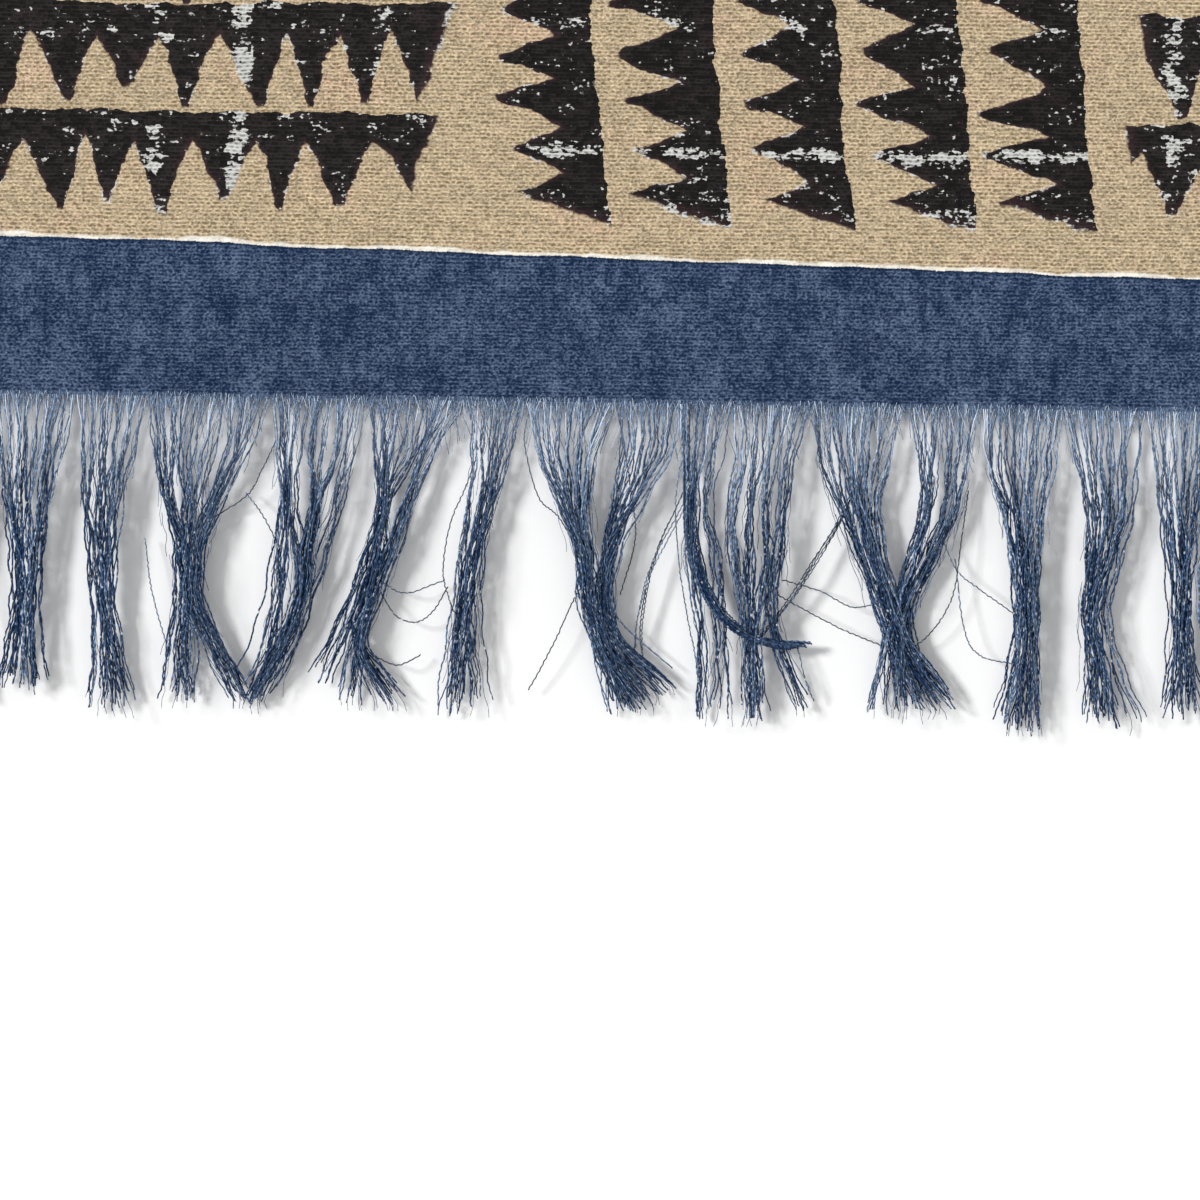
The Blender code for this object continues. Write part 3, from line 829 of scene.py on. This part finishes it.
def lock_yarns(bundle, end, chance):
    """The yarns of one bundle: each the points that it follows and its thickness there, in metres."""
    middle, half = (bundle.left + bundle.right) / 2, (bundle.right - bundle.left) / 2
    fine = end < 0 and abs(middle) < FINE_REACH
    pitch, steps = (YARN_PITCH, FINE_STEPS) if fine else (PLAIN_YARN_PITCH, PLAIN_STEPS)
    centres = (middle, *bundle[2:8])
    gathered = GATHERED_SHARE * half + GATHERED_LEAST
    widths = [half, half * 0.84, half * 0.62 + 0.1]
    widths += [gathered + 0.2, gathered, gathered + 0.1, bundle.fan + 0.3]
    tip_height = chance.uniform(*TIP_HEIGHTS)
    bow = chance.uniform(*BOWS)
    turn = chance.uniform(*LOCK_TURNS)
    edges = [-half - chance.uniform(0, 0.8)]
    while edges[-1] < half:
        edges.append(edges[-1] + chance.uniform(*CLUSTER_WIDTHS))
    clusters = []
    for a, b in zip(edges, edges[1:]):
        clusters.append(((a + b) / 2, chance.uniform(*CLUSTER_PULLS), chance.uniform(*CLUSTER_CLOSINGS)))
    yarns = []
    count = max(2, round(2 * half / pitch * bundle.fill))
    for n in range(count):
        place = (2 * n + 1) / count - 1
        nearest, pull, closing = clusters[sum(edge <= place * half for edge in edges) - 1]
        clinging = (nearest / half - place) * pull * chance.uniform(0.6, 1.1)
        around = chance.uniform(0, math.tau)
        out = math.sqrt(chance.uniform(0.02, 1.15))
        own_turn = turn + chance.uniform(*YARN_TURNS)
        length = bundle.length * (1 + chance.uniform(*LENGTH_SHARES))
        stray = chance.uniform(-1, 1) ** 5
        sag = chance.uniform(-1, 1)
        phase, wave = chance.uniform(0, math.tau), chance.uniform(*SWAY_PITCHES)
        thickness = YARN_RADIUS * chance.uniform(*THICKNESS_SHARES)
        crimp = CRIMP_SWAY * chance.uniform(0.6, 1.4) * chance.choice((-1, 1))
        points = []
        for step in range(steps + 1):
            share = step / steps
            down = length * share - TUCKED_IN * (1 - share)
            free = min(1.0, max(0.0, share * 8))
            settled = min(1.0, max(0.0, (share - 0.14) / 0.48))
            settled = settled * settled * (3 - 2 * settled)
            angle = around + own_turn * share
            spot = (place + clinging * min(1.0, share * closing)) * (1 - settled)
            spot += out * math.cos(angle) * settled
            width = through(widths, share)
            x = through(centres, share) + width * spot + stray * STRAY_REACH * share**1.5
            crimp = -crimp
            sway = SWAY * math.sin(phase + down * math.tau / wave) + crimp
            x += free * (sway + chance.uniform(-0.05, 0.05))
            z = root_height(x, end) * (1 - share) + tip_height * share + bow * 4 * share * (1 - share)
            z += math.sin(angle) * out * min(width * 0.55, 1.15) * min(1.0, share * 3.0) * (1 - 0.4 * share)
            z += 0.7 * sag * share**3 + free * (crimp * 0.7 + chance.uniform(-0.06, 0.06))
            taper = 0.72 + 0.36 * min(1.0, share * 2.5) - 0.3 * share**6
            z = max(z, LOWEST_YARN)
            points.append((x * MM, end * (CLOTH_END + down * MM), z * MM, thickness * MM * taper))
        yarns.append(points)
    return yarns


def fuzz_of(bundle, end, count, chance):
    """Fine hairs along one bundle, which soften its outline."""
    middle, half = (bundle.left + bundle.right) / 2, (bundle.right - bundle.left) / 2
    centres = (middle, *bundle[2:8])
    widths = [half, half * 0.8, half * 0.7]
    widths += [half * 0.45 + 0.9, half * 0.4 + 1.0, half * 0.4 + 1.1, bundle.fan + 0.6]
    hairs = []
    for _ in range(count):
        start = chance.uniform(*HAIR_STARTS)
        reach = min(chance.uniform(*HAIR_REACHES), HAIR_LAST_END - start)
        spot, spread = chance.uniform(*HAIR_SPOTS), chance.uniform(*HAIR_SPREADS)
        phase, wave = chance.uniform(0, math.tau), chance.uniform(*HAIR_SWAY_PITCHES)
        lift = chance.uniform(*HAIR_LIFTS)
        points = []
        for step in range(HAIR_STEPS + 1):
            share = start + reach * step / HAIR_STEPS
            down = bundle.length * share
            x = through(centres, min(share, 1.0)) + through(widths, min(share, 1.0)) * spot
            x += spread * HAIR_SPREAD_REACH * (step / HAIR_STEPS) ** 2
            x += HAIR_SWAY * math.sin(phase + down * math.tau / wave)
            z = root_height(x, end) * max(0.0, 1 - share) + lift * min(1.0, share * 1.6)
            z = max(z, LOWEST_HAIR)
            points.append((x * MM, end * (CLOTH_END + down * MM), z * MM, HAIR_RADIUS * MM))
        hairs.append(points)
    return hairs


def root_haze(low, high, end, count, lengths, chance):
    """Short broken ends and fine hairs of weft and warp, close to the last weft."""
    hairs = []
    for _ in range(count):
        x = chance.uniform(low, high)
        length = chance.uniform(*lengths)
        lean = chance.uniform(*HAZE_LEANS)
        z = root_height(x, end) + chance.uniform(0.0, 0.4)
        rise = chance.uniform(*HAZE_RISES)
        radius = chance.uniform(*HAZE_RADII)
        tucked = chance.uniform(*HAZE_TUCKS)
        points = []
        for step in range(HAZE_STEPS + 1):
            share = step / HAZE_STEPS
            down = length * share - tucked
            place = x + lean * length * share + chance.uniform(-0.06, 0.06)
            height = max(z + rise * share, LOWEST_HAIR)
            points.append((place * MM, end * (CLOTH_END + down * MM), height * MM, radius * MM))
        hairs.append(points)
    return hairs


def loose_yarns(path, count, half_widths, radius, height, chance, joining=0):
    """Yarns along a path of points across and below the near end. The last few join it from beside."""
    yarns = []
    steps = round(sum(math.dist(a, b) for a, b in zip(path, path[1:])) / (WEFT_PITCH * 0.75))
    for n in range(count):
        around, turn = chance.uniform(0, math.tau), chance.uniform(2, 5)
        reach = math.sqrt(chance.uniform(0, 1))
        cut = chance.uniform(0.92, 1.0) if count > 1 else 1.0
        begin = chance.uniform(0.14, 0.34) if n >= count - joining else 0.0
        crimp = CRIMP_SWAY * 1.3
        points = []
        for step in range(steps + 1):
            share = begin + (cut - begin) * step / steps
            x, down = (through([point[k] for point in path], share) for k in (0, 1))
            ahead = [through([point[k] for point in path], min(share + 0.02, 1.0)) for k in (0, 1)]
            behind = [through([point[k] for point in path], share - 0.02) for k in (0, 1)]
            run = Vector((ahead[0] - behind[0], ahead[1] - behind[1])).normalized()
            angle = around + turn * share
            out = reach * through(half_widths, share)
            crimp = -crimp
            aside = out * math.cos(angle) + crimp + chance.uniform(-0.06, 0.06)
            x, down = x + run.y * aside, down - run.x * aside
            by_root = max(0.0, 1 - down / 14) ** 2
            z = height * (0.8 + 0.4 * math.sin(share * math.pi)) * (1 - by_root)
            z += root_height(x, -1) * by_root
            z += out * math.sin(angle) * 0.6
            points.append((x * MM, -CLOTH_END - down * MM, max(z, LOWEST_STRAY) * MM, radius * MM))
        yarns.append(points)
    return yarns


def yarn_mesh(name, routes, seed):
    """Every route as a square-sided tube with closed ends, with each yarn's tone and the run along it."""
    chance = random.Random(seed)
    curve = bpy.data.curves.new(name, "CURVE")
    curve.dimensions = "3D"
    curve.bevel_depth = 1.0
    curve.bevel_resolution = 0
    tones, runs = [], []
    for points in routes:
        spline = curve.splines.new("POLY")
        spline.points.add(len(points) - 1)
        spline.points.foreach_set("co", [value for x, y, z, radius in points for value in (x, y, z, 1)])
        spline.points.foreach_set("radius", [point[3] for point in points])
        tone, run = chance.random(), chance.uniform(0, 2)
        for point, last in zip(points, [points[0], *points]):
            run += math.dist(point[:3], last[:3]) / MM
            tones += [tone] * 4
            runs += [run] * 4
    drawn = bpy.data.objects.new(name, curve)
    bpy.context.scene.collection.objects.link(drawn)
    tubes = bpy.data.meshes.new_from_object(drawn.evaluated_get(bpy.context.evaluated_depsgraph_get()))
    bpy.data.objects.remove(drawn)
    tubes.attributes.new("yarn_tone", "FLOAT", "POINT").data.foreach_set("value", tones)
    tubes.attributes.new("yarn_run", "FLOAT", "POINT").data.foreach_set("value", runs)
    mesh = bmesh.new()
    mesh.from_mesh(tubes)
    bpy.data.meshes.remove(tubes)
    bmesh.ops.holes_fill(mesh, edges=[edge for edge in mesh.edges if edge.is_boundary], sides=4)
    bmesh.ops.recalc_face_normals(mesh, faces=mesh.faces[:])
    return mesh


def yarn_finish(name, deep):
    """Loose yarn, paler by the cloth, with the crimp of the weave still in it, and painted highlights and
    glints on the crimp's crests.
    """
    finish = Finish(name, roughness=0.6, specular=0.06)
    down = abs(finish.place()[1]) - CLOTH_END / MM
    tone = finish.node("ShaderNodeAttribute", {"attribute_name": "yarn_tone"}, {}, "Fac")
    run = finish.node("ShaderNodeAttribute", {"attribute_name": "yarn_run"}, {}, "Fac")
    crimp = ((run + finish.noise(run / 5, tone * 90) * 1.2) * math.tau / (WEFT_PITCH * 2)).cosine()
    glint = crimp.rise(0.1, 1.0)
    sparkle = glint * finish.noise(run / 1.3, tone * 40, 25.0).rise(0.15, 0.50)
    by_cloth = 1 - down.rise(-6.0, 44.0)
    patchy = finish.noise(run / 6, tone * 70, 5.0) * 0.20 + (tone - 0.5) * by_cloth * 0.40
    pale = by_cloth * by_cloth * 0.52 + (tone**3.0) * 0.45 + patchy + 0.05
    pale = pale + (1 - down.rise(0.5, 4.5)) * 0.12
    colour = finish.mix(pale.least(1.0).most(0.0), deep, YARN_PALE)
    speckle = finish.noise(run / 1.1, tone * 50, 15.0) * 0.40
    speckle = speckle + finish.noise(run / 0.4, tone * 60, 17.0) * 0.55
    # Painted light along each yarn: lighter on the crimp's crests and darker in its troughs. Then painted
    # white glints go on some crests, fainter by the cloth.
    colour = finish.shade(colour, (glint * (0.95 - by_cloth * 0.6) + 0.78 + speckle).most(0.1))
    colour = finish.mix(sparkle * (0.85 - by_cloth * 0.45), colour, YARN_GLINT)
    colour = finish.mix((tone * by_cloth).rise(0.56, 0.96) * 0.75, colour, YARN_GLINT)
    finish.feed(colour, crimp, 0.05 * MM, strength=0.6)
    return finish


blue_yarn = yarn_finish("loose_blue_yarn", YARN_DEEP)
stray_yarn = yarn_finish("stray_yarn", STRAY_DEEP)

low, high = -end_half_width(-1, -1), end_half_width(-1, 1)
seen_low, seen_high = SEEN_BUNDLES[0].left, SEEN_BUNDLES[-1].right
side_bundles = plain_bundles(low, seen_low, NEAR_SEED) + plain_bundles(seen_high, high, NEAR_SEED + 1)

near_bundles = [*SEEN_BUNDLES, *side_bundles]
BEYOND_SIDES = 300.0


def yarns_between(name, left, right, seed):
    """One piece of the near fringe: the yarns of the bundles whose roots lie there."""
    chance = random.Random(seed)
    bundles = [bundle for bundle in near_bundles if left <= (bundle.left + bundle.right) / 2 < right]
    routes = [route for bundle in bundles for route in lock_yarns(bundle, -1, chance)]
    return new_piece(name, yarn_mesh(name, routes, seed), blue_yarn)


left_yarns = yarns_between("near_yarns_left", -FINE_REACH, 0.0, 31)
right_yarns = yarns_between("near_yarns_right", 0.0, FINE_REACH, 32)
left_side_yarns = yarns_between("near_side_yarns_left", -BEYOND_SIDES, -FINE_REACH, 36)
right_side_yarns = yarns_between("near_side_yarns_right", FINE_REACH, BEYOND_SIDES, 37)
near_pieces = [left_yarns, right_yarns, left_side_yarns, right_side_yarns]
for piece in near_pieces:
    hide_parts("fringe_near")

chance = random.Random(33)
fuzz_routes = [route for bundle in SEEN_BUNDLES for route in fuzz_of(bundle, -1, SEEN_HAIRS, chance)]
fuzz_routes += [route for bundle in side_bundles for route in fuzz_of(bundle, -1, PLAIN_HAIRS, chance)]
fuzz = new_piece("near_fuzz", yarn_mesh("near_fuzz", fuzz_routes, 5), blue_yarn)
haze_routes = root_haze(seen_low, seen_high, -1, SHORT_HAZE_HAIRS, SHORT_HAZE, chance)
haze_routes += root_haze(seen_low, seen_high, -1, LONG_HAZE_HAIRS, LONG_HAZE, chance)
for start, stop in ((low, seen_low), (seen_high, high)):
    haze_routes += root_haze(start, stop, -1, SIDE_HAZE_HAIRS, PLAIN_HAZE, chance)
haze = new_piece("near_root_fuzz", yarn_mesh("near_root_fuzz", haze_routes, 10), blue_yarn)

chance = random.Random(34)
stray_routes = []
for path in STRAYS:
    stray_routes += loose_yarns(path, 1, (0.0, 0.0), STRAY_RADIUS, STRAY_HEIGHT, chance)
for path in WISPS:
    stray_routes += loose_yarns(path, WISP_YARNS, WISP_HALF_WIDTHS, WISP_RADIUS, WISP_HEIGHT, chance)
strays = new_piece("near_strays", yarn_mesh("near_strays", stray_routes, 6), stray_yarn)
curled_size = (CURLED_HALF_WIDTHS, CURLED_RADIUS, CURLED_HEIGHT)
curled_routes = loose_yarns(CURLED_LOCK, CURLED_YARNS, *curled_size, chance, joining=CURLED_JOINING)
curled = new_piece("near_curled_lock", yarn_mesh("near_curled_lock", curled_routes, 9), blue_yarn)

# The fringe at the other end: the same loose warp yarns. The photograph doesn't show it, so chance sets
# its locks, and its yarns have fewer steps.
low, high = -end_half_width(1, -1), end_half_width(1, 1)
chance = random.Random(35)
far_bundles = plain_bundles(low, high, FAR_SEED)
far_routes = [route for bundle in far_bundles for route in lock_yarns(bundle, 1, chance)]
fringe_far = new_piece("far_yarns", yarn_mesh("far_yarns", far_routes, 7), blue_yarn)
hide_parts("fringe_far")
fuzz_routes = [route for bundle in far_bundles for route in fuzz_of(bundle, 1, PLAIN_HAIRS, chance)]
fuzz_routes += root_haze(low, high, 1, FAR_HAZE_HAIRS, PLAIN_HAZE, chance)
far_fuzz = new_piece("far_fuzz", yarn_mesh("far_fuzz", fuzz_routes, 8), blue_yarn)
